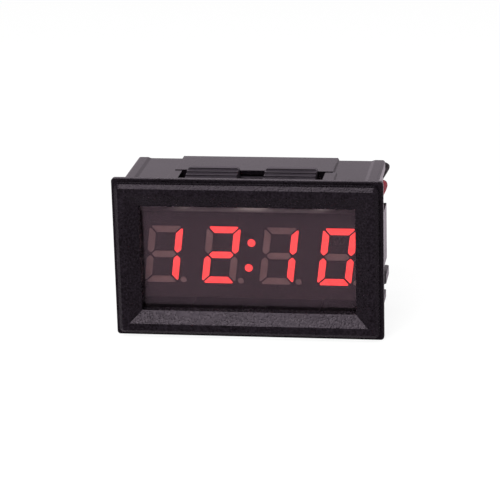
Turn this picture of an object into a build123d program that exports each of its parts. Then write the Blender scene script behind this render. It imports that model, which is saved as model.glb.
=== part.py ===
"""A panel-mounted digital car clock, built as it comes apart on a bench.

The frame: X runs to the right as the driver sees the clock, Y runs from the face to the back,
Z runs up. The origin is under the middle of the bezel, at half the depth, on the surface that
the bezel stands on. All sizes are in millimetres.
"""

import math
import os

from build123d import *

os.makedirs("parts", exist_ok=True)

# Overall sizes: the body fits a panel cut-out, and the bezel laps the panel all round
body_width = 45.5
body_height = 26.5
bezel_lap = 1.25
overall_depth = 21.0

# Bezel: a thin rear flange, a front frame set in from it, and a sloped window
flange_thickness = 1.0
flange_corner = 0.6
flange_edge_round = 0.12
frame_step = 0.75
frame_depth = 1.9
frame_corner = 0.9
frame_edge_cut = 0.65
window_inset = 2.3
slope_run = 2.2
slope_depth = 1.25
window_depth = 1.8

# Lens behind the window
lens_thickness = 1.0
lens_lap = 0.9
lens_fit = 0.05

# Body shell, with rails along its corners and shallow fields between them
wall = 1.3
rail_width = 1.85
field_recess = 0.2
field_slope = 0.6
side_recess = 0.4
side_pad_height = 10.4
side_pad_length = 7.8
side_pad_ramp = 0.8
body_corner = 0.5
lug_height = 1.6
lug_length = 8.0
lug_proud = 0.62
lug_from_bottom = 5.95
lug_from_rear = 4.5
lug_front_ramp = 2.0
lug_rear_ramp = 0.35

# Rear cover
cover_thickness = 1.4
cover_recess = 0.6
cover_fit = 0.15
tab_height = 7.0
tab_depth = 1.0
tab_proud = 0.2
tab_fit = 0.1
post_radius = 1.1
post_from_edge = 2.0
cover_room = 0.5

# Spring clips: a tongue that pivots on a bead at its root and grips with two toothed pads
pad_width = 9.2
pad_gap = 4.8
pad_proud = 1.2
panel_room = 3.5
pad_back_ramp = 0.35
pad_corner_cut = 0.3
teeth = 4
tooth_tread = 1.15
tooth_rise = 0.33
clip_thickness = 0.9
bead_radius = 0.7
bead_fit = 0.08
hinge_gap = 0.15
clip_side_fit = 0.3
clip_swing = 10.0
block_rise = 0.3
block_gap = 0.7
block_margin = 2.75
block_end_slope = 0.45
apron_margin = 0.65
apron_drop = 0.12
roof_thickness = 0.8
slot_margin = 1.3
slot_end_gap = 0.6
cheek_thickness = 1.3
lip_drop = 0.22
lip_length = 0.8
shelf_thickness = 0.9

# Display module
display_gap = 1.05
display_side_gap = 1.3
display_height = 16.0
display_drop = 0.2
substrate_thickness = 1.0
substrate_recess = 0.3
substrate_rim = 0.6
substrate_fit = 0.1
digit_end_margin = 1.62
digit_edge_margin = 2.75
digit_width = 6.0
segment_width = 1.15
segment_gap = 0.26
segment_fit = 0.03
segment_round = 0.16
digit_slant = 7.2
colon_radius = 0.68
colon_spacing = 4.65
point_radius = 0.5
point_from_digit = 1.0
pin_size = 0.5
pin_pitch = 2.54
pins_per_row = 6
pin_from_edge = 2.92
pin_beyond_board = 1.0
pin_hole_radius = 0.45

# Main board and what stands on its rear face
board_thickness = 1.2
board_fit = 0.3
board_clip_gap = 0.29
ledge_gap = 0.2
ledge_height = 2.6
ledge_depth = 1.6
chip_length = 9.9
chip_width = 3.9
chip_depth = 1.75
chip_x = -1.5
chip_pins_per_side = 8
chip_pin_pitch = 1.27
chip_pin_width = 0.42
chip_pin_thickness = 0.25
chip_pin_reach = 1.05
parts_gap = 0.25
crystal_length = 6.2
crystal_radius = 1.05
crystal_x = -1.5
regulator_length = 4.5
regulator_width = 2.5
regulator_depth = 1.5
regulator_x = 3.5
capacitor_radius = 2.5
capacitor_length = 5.0
capacitor_base = 0.7
capacitor_base_lap = 0.15
capacitor_groove = 0.25
capacitor_from_edge = 9.15
diode_length = 4.3
diode_width = 2.6
diode_depth = 2.1
chip_part_length = 2.0
chip_part_width = 1.25
resistor_depth = 0.5
resistor_count = 3
resistor_pitch = 2.6
resistor_x = -4.0
ceramic_depth = 0.9
ceramic_count = 3
ceramic_pitch = 2.2
ceramic_rise = 1.0

# Setting switches and their buttons
switch_size = 6.0
switch_depth = 3.4
switch_floor = 0.8
switch_pocket_radius = 2.35
switch_post_gap = 0.55
switch_spacing = 9.2
switch_plate = 0.25
dome_radius = 2.0
dome_rise = 0.45
dome_thickness = 0.15
dome_crown = 0.8
dome_rim = 0.4
button_radius = 1.7
button_flange_radius = 2.1
button_flange = 0.8
button_fit = 0.25
button_play = 0.05
button_below_rear = 0.15
button_travel = 0.25
button_edge_round = 0.35
nub_radius = 0.7
nub_gap = 0.05

# Leads: two insulated wires through a grommet in the rear cover
lead_diameter = 1.3
lead_fit = 0.05
lead_from_edge = 5.55
lead_from_top = 4.6
lead_spacing = 2.9
tip_diameter = 0.8
tip_length = 4.0
solder_base_radius = 0.95
solder_height = 0.8
grommet_wall = 0.85
grommet_flange = 0.7
grommet_fit = 0.05

# Put-away coils of the leads, one on the other, held by a tie
coil_radius = 9.0
coil_pitch = 1.8
coil_half_turns = 4
coil_lead_in = 1.5
coil_end_radius = 4.0
tie_thickness = 0.4
tie_clearance = 0.15
tie_width = 2.0
tie_corner = 0.6
tie_head = 1.6

# Planes and edges that follow from the sizes above
bezel_width = body_width + 2 * bezel_lap
bezel_height = body_height + 2 * bezel_lap
front_y = -overall_depth / 2
rear_y = overall_depth / 2
mid_z = bezel_height / 2
half_body = body_height / 2
flange_front_y = front_y + frame_depth
flange_rear_y = flange_front_y + flange_thickness
frame_width = bezel_width - 2 * frame_step
frame_height = bezel_height - 2 * frame_step
cavity_width = body_width - 2 * wall
cavity_height = body_height - 2 * wall
window_width = cavity_width - 2 * window_inset
window_height = cavity_height - 2 * window_inset
opening_width = window_width + 2 * slope_run
opening_height = window_height + 2 * slope_run
slope_end_y = front_y + slope_depth
lens_front_y = slope_end_y + window_depth
lens_rear_y = lens_front_y + lens_thickness
lens_width = window_width + 2 * lens_lap
lens_height = window_height + 2 * lens_lap
cover_rear_y = rear_y - cover_recess
cover_front_y = cover_rear_y - cover_thickness
cover_mid_y = (cover_front_y + cover_rear_y) / 2

# The board stands clear of the cover by its tallest part, and the display fills what is left
board_rear_y = cover_front_y - cover_room - capacitor_length - capacitor_base
board_front_y = board_rear_y - board_thickness
board_width = cavity_width - 2 * board_fit
display_face_y = lens_rear_y + display_gap
display_rear_y = board_front_y
display_depth = display_rear_y - display_face_y
display_width = cavity_width - 2 * display_side_gap
substrate_rear_y = display_rear_y - substrate_recess
substrate_front_y = substrate_rear_y - substrate_thickness
display_z = mid_z - display_drop
ledge_width = display_side_gap - ledge_gap
slant = math.tan(math.radians(digit_slant))

# Clips: levels are heights above the middle of the body
hinge_y = cover_front_y - hinge_gap - bead_radius
roof_level = half_body + block_rise - roof_thickness
bead_level = roof_level - bead_fit - bead_radius
shelf_level = bead_level - bead_radius - bead_fit
lip_level = roof_level - lip_drop
lip_rear_y = hinge_y - bead_fit - math.sqrt(bead_radius**2 - (lip_level - bead_level) ** 2)
tongue_top = bead_level + clip_thickness / 2
tongue_bottom = bead_level - clip_thickness / 2
pad_level = half_body + pad_proud
clip_front_y = flange_rear_y + panel_room
pad_rear_y = clip_front_y + teeth * tooth_tread
block_front_y = pad_rear_y + block_gap
slot_front_y = clip_front_y - slot_end_gap
clip_width = 2 * pad_width + pad_gap
slot_width = clip_width + 2 * slot_margin
clip_room = clip_width + 2 * clip_side_fit
block_width = clip_room + 2 * block_margin
pad_centre = (pad_width + pad_gap) / 2

# The board's edge stays clear of a clip's tongue that is pressed right in
swing = math.radians(clip_swing)
swing_drop = (hinge_y - board_front_y) * math.sin(swing) + clip_thickness / 2 * math.cos(swing)
board_height = 2 * (bead_level - swing_drop - board_clip_gap)

# Places on the board's rear face, from its edges and from the rows of display pins
pin_row_spacing = display_height - 2 * pin_from_edge
upper_pins_z = display_z + pin_row_spacing / 2 + pin_size / 2 + parts_gap
lower_pins_z = display_z - pin_row_spacing / 2 - pin_size / 2 - parts_gap
crystal_z = upper_pins_z + crystal_radius
regulator_z = lower_pins_z - regulator_width / 2
resistor_z = lower_pins_z - chip_part_width / 2
capacitor_base_size = 2 * (capacitor_radius + capacitor_base_lap)
capacitor_x = board_width / 2 - capacitor_from_edge
capacitor_z = lower_pins_z + pin_size + 2 * parts_gap + capacitor_base_size / 2
diode_x = capacitor_x
diode_z = capacitor_z + capacitor_base_size / 2 + parts_gap + diode_width / 2
ceramic_x = (chip_x + chip_length / 2 + capacitor_x - capacitor_base_size / 2) / 2
post_inner_x = board_width / 2 - post_from_edge - post_radius
switch_x = -(post_inner_x - switch_post_gap - switch_size / 2)
lug_z = mid_z - half_body + lug_from_bottom
lug_y = rear_y - lug_from_rear

# Leads' grommet, a rounded oblong with one hole for each lead
lead_x = board_width / 2 - lead_from_edge
grommet_z = mid_z + cavity_height / 2 - lead_from_top
red_lead_z = grommet_z - lead_spacing / 2
black_lead_z = grommet_z + lead_spacing / 2
lead_levels = (red_lead_z, black_lead_z)
grommet_width = lead_diameter + 2 * grommet_wall
grommet_height = lead_spacing + grommet_width


def facing(y, z=mid_z):
    """A sketch plane at depth y that faces the driver: its X is right and its Y is up."""
    return Plane(origin=(0, y, z), x_dir=(1, 0, 0), z_dir=(0, -1, 0))


def save(name, piece):
    """Labels a finished piece and writes it to its own file."""
    piece.part.label = name
    export_step(piece.part, f"parts/{name}.step")


# Bezel and body shell, one moulding that is open at the rear
with BuildPart() as case:
    with BuildSketch(facing(flange_front_y)):
        RectangleRounded(bezel_width, bezel_height, flange_corner)
    extrude(amount=-flange_thickness)
    rims = case.faces().sort_by(Axis.Y)
    fillet(rims[0].edges() + rims[-1].edges(), flange_edge_round)
    with BuildSketch(facing(flange_front_y)):
        RectangleRounded(frame_width, frame_height, frame_corner)
    extrude(amount=frame_depth)
    chamfer(case.faces().sort_by(Axis.Y)[0].outer_wire().edges(), frame_edge_cut)
    with BuildSketch(facing(flange_rear_y)):
        RectangleRounded(body_width, body_height, body_corner)
    extrude(amount=flange_rear_y - rear_y)
    # Shallow fields between the corner rails, on all four sides
    field_end = body_width / 2 - rail_width
    with BuildSketch(facing(flange_rear_y)):
        for side in (1, -1):
            field_level = side * (half_body - field_recess)
            Polygon(
                (-field_end, side * half_body),
                (field_end, side * half_body),
                (field_end - field_slope, field_level),
                (field_slope - field_end, field_level),
            )
            with Locations((side * body_width / 2, 0)):
                Rectangle(2 * side_recess, body_height - 2 * rail_width)
    extrude(amount=flange_rear_y - rear_y, mode=Mode.SUBTRACT)
    # Raised blocks that roof the clips, and a lower apron in front of each, all with sloped ends
    apron_width = block_width + 2 * apron_margin
    for side in (1, -1):
        low = side * (half_body - wall / 2)
        for width, rise, from_y, to_y in (
            (block_width, block_rise, block_front_y, rear_y),
            (apron_width, block_rise - apron_drop, flange_rear_y, block_front_y),
        ):
            high = side * (half_body + rise)
            inset = width / 2 - block_end_slope
            with BuildSketch(facing(from_y)):
                Polygon((-width / 2, low), (width / 2, low), (inset, high), (-inset, high))
            extrude(amount=from_y - to_y)
    # Flat pads on the two sides round the rear cover's tabs, ramped towards the front
    for side in (1, -1):
        pad_inner = side * (body_width / 2 - wall)
        pad_outer = side * (body_width / 2 + tab_proud)
        pad_front_y = rear_y - side_pad_length
        with BuildSketch(Plane.XY.offset(mid_z - side_pad_height / 2)):
            with BuildLine():
                Polyline(
                    (pad_inner, pad_front_y),
                    (side * (body_width / 2 - side_recess), pad_front_y),
                    (pad_outer, pad_front_y + side_pad_ramp),
                    (pad_outer, rear_y),
                    (pad_inner, rear_y),
                    close=True,
                )
            make_face()
        extrude(amount=side_pad_height)
    # Long lugs low on the two sides, with a slow ramp at the front and a short one at the rear
    for side in (1, -1):
        lug_inner = side * (body_width / 2 - wall)
        lug_outer = side * (body_width / 2 + lug_proud)
        lug_front_y = lug_y - lug_length / 2
        lug_rear_y = lug_y + lug_length / 2
        with BuildSketch(Plane.XY.offset(lug_z - lug_height / 2)):
            with BuildLine():
                Polyline(
                    (lug_inner, lug_front_y),
                    (side * (body_width / 2 - side_recess), lug_front_y),
                    (lug_outer, lug_front_y + lug_front_ramp),
                    (lug_outer, lug_rear_y - lug_rear_ramp),
                    (lug_outer - side * lug_rear_ramp, lug_rear_y),
                    (lug_inner, lug_rear_y),
                    close=True,
                )
            make_face()
        extrude(amount=lug_height)
    # Cavity, lens pocket, window and its slope
    with BuildSketch(facing(lens_rear_y)):
        Rectangle(cavity_width, cavity_height)
    extrude(amount=lens_rear_y - rear_y, mode=Mode.SUBTRACT)
    with BuildSketch(facing(lens_front_y)):
        Rectangle(lens_width + 2 * lens_fit, lens_height + 2 * lens_fit)
    extrude(amount=-lens_thickness, mode=Mode.SUBTRACT)
    with BuildSketch(facing(slope_end_y)):
        Rectangle(window_width, window_height)
    extrude(amount=-window_depth, mode=Mode.SUBTRACT)
    with BuildSketch(facing(front_y)):
        Rectangle(opening_width, opening_height)
    with BuildSketch(facing(slope_end_y)):
        Rectangle(window_width, window_height)
    loft(mode=Mode.SUBTRACT)
    # Slots for the clips' pads, and the room under each roof for a clip's tongue
    for side in (1, -1):
        with BuildSketch(facing(slot_front_y, mid_z + side * half_body)):
            Rectangle(slot_width, 2 * (wall + block_rise))
        extrude(amount=slot_front_y - block_front_y, mode=Mode.SUBTRACT)
        room_low = cavity_height / 2 - wall
        with BuildSketch(facing(block_front_y, mid_z + side * (roof_level + room_low) / 2)):
            Rectangle(clip_room, roof_level - room_low)
        extrude(amount=block_front_y - cover_front_y, mode=Mode.SUBTRACT)
        # A stirrup under each roof: two cheeks and the shelf that the clip's bead turns on
        stirrup_low = shelf_level - shelf_thickness
        stirrup_depth = cover_front_y - (hinge_y - bead_radius)
        cheek_high = half_body - wall / 2
        for end in (1, -1):
            cheek_x = end * (clip_room + cheek_thickness) / 2
            with BuildSketch(facing(cover_front_y, mid_z + side * (stirrup_low + cheek_high) / 2)):
                with Locations((cheek_x, 0)):
                    Rectangle(cheek_thickness, cheek_high - stirrup_low)
            extrude(amount=stirrup_depth)
        with BuildSketch(facing(cover_front_y, mid_z + side * (shelf_level + stirrup_low) / 2)):
            Rectangle(clip_room + 2 * cheek_thickness, shelf_thickness)
        extrude(amount=stirrup_depth)
        # A lip on the roof's underside that keeps the bead from sliding forwards
        lip_high = roof_level + roof_thickness / 2
        with BuildSketch(facing(lip_rear_y, mid_z + side * (lip_level + lip_high) / 2)):
            Rectangle(clip_room, lip_high - lip_level)
        extrude(amount=lip_length)
    # Ledges in the corners that the board rests against
    with BuildSketch(facing(board_front_y)):
        for x_side in (1, -1):
            for z_side in (1, -1):
                with Locations(
                    (
                        x_side * (cavity_width / 2 + (wall / 2 - ledge_width) / 2),
                        z_side * (board_height - ledge_height) / 2,
                    )
                ):
                    Rectangle(ledge_width + wall / 2, ledge_height)
    extrude(amount=ledge_depth)
    # Windows in the two sides for the rear cover's tabs
    with BuildSketch(facing(cover_mid_y + tab_depth / 2 + tab_fit)):
        for side in (1, -1):
            with Locations((side * body_width / 2, 0)):
                Rectangle(4 * wall, tab_height + 2 * tab_fit)
    extrude(amount=tab_depth + 2 * tab_fit, mode=Mode.SUBTRACT)
save("case", case)

# Smoked lens, set in its pocket from behind
with BuildPart() as lens:
    with BuildSketch(facing(lens_front_y)):
        Rectangle(lens_width, lens_height)
    extrude(amount=-lens_thickness)
save("lens", lens)

# Digits. The segments are mitred at a digit's corners and pointed at its waist, and lean with it
digit_height = display_height - 2 * digit_edge_margin
segment_places = {
    "a": ("cap", 1, 1),
    "b": ("post", 1, 1),
    "c": ("post", 1, -1),
    "d": ("cap", 1, -1),
    "e": ("post", -1, -1),
    "f": ("post", -1, 1),
    "g": ("bar", 1, 1),
}
lit_in_numeral = {"0": "abcdef", "1": "bc", "2": "abged"}
time_shown = "1210"
digit_pitch = (display_width - digit_width - 2 * digit_end_margin) / (len(time_shown) - 1)


def segment_outline(name, grow=0.0):
    """The corners of one segment's outline, sheared by the digits' lean."""
    form, x_side, z_side = segment_places[name]
    right, top = digit_width / 2, digit_height / 2
    thick, half = segment_width + grow, segment_width / 2 + grow
    slide = math.sqrt(2) * grow - segment_gap
    if form == "cap":
        outer = right + slide + grow
        inner = right + slide - thick
        corners = [(-outer, top + grow), (outer, top + grow), (inner, top - thick), (-inner, top - thick)]
    elif form == "post":
        corners = [
            (right + grow, top + slide + grow),
            (right + grow, half - slide),
            (right - segment_width / 2, -slide),
            (right - thick, half - slide),
            (right - thick, top + slide - thick),
        ]
    else:
        tip = right - segment_width / 2 + slide
        corners = [(-tip, 0), (half - tip, half), (tip - half, half), (tip, 0), (tip - half, -half), (half - tip, -half)]
    return [(x_side * x + slant * z_side * z, z_side * z) for x, z in corners]


def digit_x(index):
    """The middle of a digit, counted from the left."""
    return (index - (len(time_shown) - 1) / 2) * digit_pitch


def segment_list(lit):
    """The (digit middle, segment) pairs that are lit, or that are not."""
    found = []
    for index, numeral in enumerate(time_shown):
        for name in segment_places:
            if (name in lit_in_numeral[numeral]) == lit:
                found.append((digit_x(index), name))
    return found


def draw_segments(pairs, grow=0.0):
    """Adds the outlines of these segments to the sketch that is open."""
    for middle, name in pairs:
        with Locations((middle, 0)):
            Polygon(*segment_outline(name, grow))


point_z = -digit_height / 2 + point_radius
point_x = digit_width / 2 + point_from_digit + slant * point_z
point_places = [(digit_x(i) + point_x, point_z) for i in range(len(time_shown))]
colon_places = [(side * slant * colon_spacing / 2, side * colon_spacing / 2) for side in (1, -1)]

with BuildPart() as display_housing:
    with BuildSketch(facing(display_face_y, display_z)):
        Rectangle(display_width, display_height)
    extrude(amount=-display_depth)
    with BuildSketch(facing(display_rear_y, display_z)):
        Rectangle(display_width - 2 * substrate_rim, display_height - 2 * substrate_rim)
    extrude(amount=substrate_thickness + substrate_recess, mode=Mode.SUBTRACT)
    with BuildSketch(facing(display_face_y, display_z)) as pockets:
        draw_segments(segment_list(True) + segment_list(False), segment_fit)
        fillet(pockets.vertices(), segment_round + segment_fit)
        with Locations(*colon_places):
            Circle(colon_radius + segment_fit)
        with Locations(*point_places):
            Circle(point_radius + segment_fit)
    extrude(amount=display_face_y - substrate_front_y, mode=Mode.SUBTRACT)
save("display_housing", display_housing)

with BuildPart() as lit_segments:
    with BuildSketch(facing(display_face_y, display_z)) as bars:
        draw_segments(segment_list(True))
        fillet(bars.vertices(), segment_round)
    extrude(amount=display_face_y - substrate_front_y)
save("lit_segments", lit_segments)

with BuildPart() as unlit_segments:
    with BuildSketch(facing(display_face_y, display_z)) as bars:
        draw_segments(segment_list(False))
        fillet(bars.vertices(), segment_round)
    extrude(amount=display_face_y - substrate_front_y)
save("unlit_segments", unlit_segments)

with BuildPart() as colon_dots:
    with BuildSketch(facing(display_face_y, display_z)):
        with Locations(*colon_places):
            Circle(colon_radius)
    extrude(amount=display_face_y - substrate_front_y)
save("colon_dots", colon_dots)

with BuildPart() as decimal_points:
    with BuildSketch(facing(display_face_y, display_z)):
        with Locations(*point_places):
            Circle(point_radius)
    extrude(amount=display_face_y - substrate_front_y)
save("decimal_points", decimal_points)

with BuildPart() as display_substrate:
    with BuildSketch(facing(substrate_front_y, display_z)):
        Rectangle(
            display_width - 2 * substrate_rim - 2 * substrate_fit,
            display_height - 2 * substrate_rim - 2 * substrate_fit,
        )
    extrude(amount=-substrate_thickness)
save("display_substrate", display_substrate)

pin_places = GridLocations(pin_pitch, pin_row_spacing, pins_per_row, 2)
with BuildPart() as display_pins:
    with BuildSketch(facing(substrate_rear_y, display_z)):
        with pin_places:
            Rectangle(pin_size, pin_size)
    extrude(amount=substrate_rear_y - board_rear_y - pin_beyond_board)
save("display_pins", display_pins)

# Main board, with holes for the display's pins
with BuildPart() as main_board:
    with BuildSketch(facing(board_front_y)):
        Rectangle(board_width, board_height)
    extrude(amount=-board_thickness)
    with BuildSketch(facing(board_front_y, display_z)):
        with pin_places:
            Circle(pin_hole_radius)
    extrude(amount=-board_thickness, mode=Mode.SUBTRACT)
save("main_board", main_board)

# Clock chip and its gull-wing pins
with BuildPart() as clock_chip:
    with BuildSketch(facing(board_rear_y + chip_pin_thickness)):
        with Locations((chip_x, 0)):
            Rectangle(chip_length, chip_width)
    extrude(amount=chip_pin_thickness - chip_depth)
    chamfer(clock_chip.faces().sort_by(Axis.Y)[-1].edges(), chip_pin_thickness)
save("clock_chip", clock_chip)

with BuildPart() as chip_pins:
    leg_y = board_rear_y + (chip_depth + chip_pin_thickness) / 2
    foot_y = board_rear_y + chip_pin_thickness
    for side in (1, -1):
        edge = mid_z + side * chip_width / 2
        knee = edge + side * chip_pin_reach / 2
        toe = edge + side * chip_pin_reach
        inner_knee = knee - side * chip_pin_thickness
        for index in range(chip_pins_per_side):
            pin_x = chip_x + (index - (chip_pins_per_side - 1) / 2) * chip_pin_pitch
            with BuildSketch(Plane.YZ.offset(pin_x - chip_pin_width / 2)):
                with BuildLine():
                    Polyline(
                        (leg_y + chip_pin_thickness, edge),
                        (leg_y + chip_pin_thickness, knee),
                        (foot_y, knee),
                        (foot_y, toe),
                        (board_rear_y, toe),
                        (board_rear_y, inner_knee),
                        (leg_y, inner_knee),
                        (leg_y, edge),
                        close=True,
                    )
                make_face()
            extrude(amount=chip_pin_width)
save("chip_pins", chip_pins)

with BuildPart() as crystal:
    crystal_end = crystal_x - crystal_length / 2
    with BuildSketch(Plane.YZ.offset(crystal_end)):
        with Locations((board_rear_y + crystal_radius, crystal_z)):
            Circle(crystal_radius)
    extrude(amount=crystal_length)
    fillet(crystal.faces().sort_by(Axis.X)[-1].edges(), crystal_radius / 3)
save("crystal", crystal)

with BuildPart() as regulator:
    with BuildSketch(facing(board_rear_y, regulator_z)):
        with Locations((regulator_x, 0)):
            Rectangle(regulator_length, regulator_width)
    extrude(amount=-regulator_depth)
    chamfer(regulator.faces().sort_by(Axis.Y)[-1].edges(), regulator_depth / 6)
save("regulator", regulator)

# Filter capacitor: a can with a rolled groove, on a square plastic foot
capacitor_foot_y = board_rear_y + capacitor_base
with BuildPart() as capacitor_foot:
    with BuildSketch(facing(board_rear_y, capacitor_z)):
        with Locations((capacitor_x, 0)):
            Rectangle(capacitor_base_size, capacitor_base_size)
    extrude(amount=-capacitor_base)
save("capacitor_foot", capacitor_foot)

with BuildPart() as filter_capacitor:
    with BuildSketch(facing(capacitor_foot_y, capacitor_z)):
        with Locations((capacitor_x, 0)):
            Circle(capacitor_radius)
    extrude(amount=-capacitor_length)
    fillet(filter_capacitor.faces().sort_by(Axis.Y)[-1].edges(), 2 * capacitor_groove)
    with BuildSketch(facing(capacitor_foot_y + 2 * capacitor_groove, capacitor_z)):
        with Locations((capacitor_x, 0)):
            Circle(capacitor_radius)
            Circle(capacitor_radius - capacitor_groove, mode=Mode.SUBTRACT)
    extrude(amount=-2 * capacitor_groove, mode=Mode.SUBTRACT)
save("filter_capacitor", filter_capacitor)

with BuildPart() as protection_diode:
    with BuildSketch(facing(board_rear_y, diode_z)):
        with Locations((diode_x, 0)):
            Rectangle(diode_length, diode_width)
    extrude(amount=-diode_depth)
    chamfer(protection_diode.faces().sort_by(Axis.Y)[-1].edges(), diode_depth / 8)
save("protection_diode", protection_diode)

with BuildPart() as chip_resistors:
    with BuildSketch(facing(board_rear_y, resistor_z)):
        with Locations((resistor_x, 0)):
            with GridLocations(resistor_pitch, 0, resistor_count, 1):
                Rectangle(chip_part_length, chip_part_width)
    extrude(amount=-resistor_depth)
save("chip_resistors", chip_resistors)

with BuildPart() as chip_capacitors:
    with BuildSketch(facing(board_rear_y, mid_z + ceramic_rise)):
        with Locations((ceramic_x, 0)):
            with GridLocations(0, ceramic_pitch, 1, ceramic_count):
                Rectangle(chip_part_length, chip_part_width)
    extrude(amount=-ceramic_depth)
save("chip_capacitors", chip_capacitors)

# Two tactile switches: body, snap dome, cover plate and a button that stands through the rear cover
switch_levels = [mid_z + side * switch_spacing / 2 for side in (1, -1)]
switch_top_y = board_rear_y + switch_depth
switch_floor_y = board_rear_y + switch_floor
button_rest_y = switch_top_y - button_play
button_end_y = rear_y - button_below_rear
dome_top_y = switch_floor_y + dome_rise
nub_end_y = dome_top_y + nub_gap + button_travel

with BuildPart() as switch_bodies:
    for level in switch_levels:
        with BuildSketch(facing(board_rear_y, level)):
            with Locations((switch_x, 0)):
                Rectangle(switch_size, switch_size)
        extrude(amount=-switch_depth)
        with BuildSketch(facing(switch_floor_y, level)):
            with Locations((switch_x, 0)):
                Circle(switch_pocket_radius)
        extrude(amount=switch_floor - switch_depth, mode=Mode.SUBTRACT)
save("switch_bodies", switch_bodies)

with BuildPart() as switch_domes:
    for level in switch_levels:
        with BuildSketch(Plane(origin=(switch_x, 0, level), x_dir=(1, 0, 0), z_dir=(0, 0, 1))):
            with BuildLine():
                Polyline(
                    (0, dome_top_y - dome_thickness),
                    (dome_crown, dome_top_y - dome_thickness),
                    (dome_radius - dome_rim, switch_floor_y),
                    (dome_radius, switch_floor_y),
                    (dome_crown, dome_top_y),
                    (0, dome_top_y),
                    close=True,
                )
            make_face()
        revolve(axis=Axis((switch_x, 0, level), (0, 1, 0)))
save("switch_domes", switch_domes)

with BuildPart() as switch_plates:
    for level in switch_levels:
        with BuildSketch(facing(switch_top_y, level)):
            with Locations((switch_x, 0)):
                Rectangle(switch_size, switch_size)
                Circle(button_radius + button_fit, mode=Mode.SUBTRACT)
        extrude(amount=-switch_plate)
save("switch_plates", switch_plates)

for button_name, level in zip(("hour_button", "minute_button"), switch_levels):
    with BuildPart() as button:
        with BuildSketch(facing(button_rest_y, level)):
            with Locations((switch_x, 0)):
                Circle(button_flange_radius)
        extrude(amount=button_flange)
        with BuildSketch(facing(button_rest_y, level)):
            with Locations((switch_x, 0)):
                Circle(button_radius)
        extrude(amount=button_rest_y - button_end_y)
        with BuildSketch(facing(button_rest_y - button_flange, level)):
            with Locations((switch_x, 0)):
                Circle(nub_radius)
        extrude(amount=button_rest_y - button_flange - nub_end_y)
        fillet(button.faces().sort_by(Axis.Y)[-1].edges(), button_edge_round)
    save(button_name, button)

# Rear cover: a plate with side tabs, posts that press on the board, and holes for buttons and leads
with BuildPart() as rear_cover:
    with BuildSketch(facing(cover_front_y)):
        Rectangle(cavity_width - 2 * cover_fit, cavity_height - 2 * cover_fit)
    extrude(amount=-cover_thickness)
    with BuildSketch(facing(cover_mid_y - tab_depth / 2)):
        Rectangle(body_width + 2 * tab_proud, tab_height)
    extrude(amount=-tab_depth)
    with BuildSketch(facing(board_rear_y)):
        with GridLocations(board_width - 2 * post_from_edge, board_height - 2 * post_from_edge, 2, 2):
            Circle(post_radius)
    extrude(amount=board_rear_y - cover_front_y)
    with BuildSketch(facing(cover_front_y, 0)):
        with Locations(*[(switch_x, level) for level in switch_levels]):
            Circle(button_radius + button_fit)
        with Locations((lead_x, grommet_z)):
            SlotOverall(grommet_height + 2 * grommet_fit, grommet_width + 2 * grommet_fit, rotation=90)
    extrude(amount=-cover_thickness, mode=Mode.SUBTRACT)
save("rear_cover", rear_cover)

with BuildPart() as lead_grommet:
    with BuildSketch(facing(cover_front_y, 0)):
        with Locations((lead_x, grommet_z)):
            SlotOverall(grommet_height, grommet_width, rotation=90)
    extrude(amount=-cover_thickness)
    with BuildSketch(facing(cover_rear_y, 0)):
        with Locations((lead_x, grommet_z)):
            SlotOverall(
                grommet_height + 2 * grommet_flange, grommet_width + 2 * grommet_flange, rotation=90
            )
    extrude(amount=-cover_recess)
    fillet(lead_grommet.faces().sort_by(Axis.Y)[-1].edges(), cover_recess / 3)
    with BuildSketch(facing(cover_front_y, 0)):
        with Locations(*[(lead_x, level) for level in lead_levels]):
            Circle(lead_diameter / 2 + lead_fit)
    extrude(amount=-cover_thickness - cover_recess, mode=Mode.SUBTRACT)
save("lead_grommet", lead_grommet)

# Spring clips. The profile is the tongue's end with its stair of teeth, seen from the side
clip_base = mid_z
with BuildPart() as top_clip:
    with BuildSketch(Plane.YZ.offset(-clip_width / 2)):
        with Locations((hinge_y, clip_base + bead_level)):
            Circle(bead_radius)
        with Locations(((hinge_y + pad_rear_y) / 2, clip_base + bead_level)):
            Rectangle(hinge_y - pad_rear_y, clip_thickness)
    extrude(amount=clip_width)
    stair = [(pad_rear_y + pad_back_ramp, tongue_bottom), (pad_rear_y + pad_back_ramp, tongue_top)]
    for tooth in range(teeth):
        stair.append((pad_rear_y - tooth * tooth_tread, pad_level - tooth * tooth_rise))
        stair.append((pad_rear_y - (tooth + 1) * tooth_tread, pad_level - tooth * tooth_rise))
    stair.append((clip_front_y, tongue_bottom))
    for side in (1, -1):
        with BuildSketch(Plane.YZ.offset(side * pad_centre - pad_width / 2)):
            with Locations((0, clip_base)):
                Polygon(*stair)
        extrude(amount=pad_width)
    # The pads' upper corners are cut at a slant
    with BuildSketch(facing(pad_rear_y + pad_back_ramp, clip_base + pad_level)):
        for side in (1, -1):
            for edge in (1, -1):
                corner_x = side * pad_centre + edge * pad_width / 2
                Polygon(
                    (corner_x, 0),
                    (corner_x - edge * pad_corner_cut, 0),
                    (corner_x, -pad_corner_cut),
                )
    extrude(amount=teeth * tooth_tread + pad_back_ramp, mode=Mode.SUBTRACT)
save("top_clip", top_clip)

with BuildPart() as bottom_clip:
    mirror(top_clip.part, about=Plane.XY.offset(mid_z))
save("bottom_clip", bottom_clip)

# Leads inside the case, from their solder joints on the board to the grommet
tail_start_y = board_rear_y + solder_height
with BuildPart() as inner_leads:
    with BuildSketch(facing(tail_start_y, 0)):
        with Locations(*[(lead_x, level) for level in lead_levels]):
            Circle(lead_diameter / 2)
    extrude(amount=tail_start_y - cover_front_y)
save("inner_leads", inner_leads)

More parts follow.
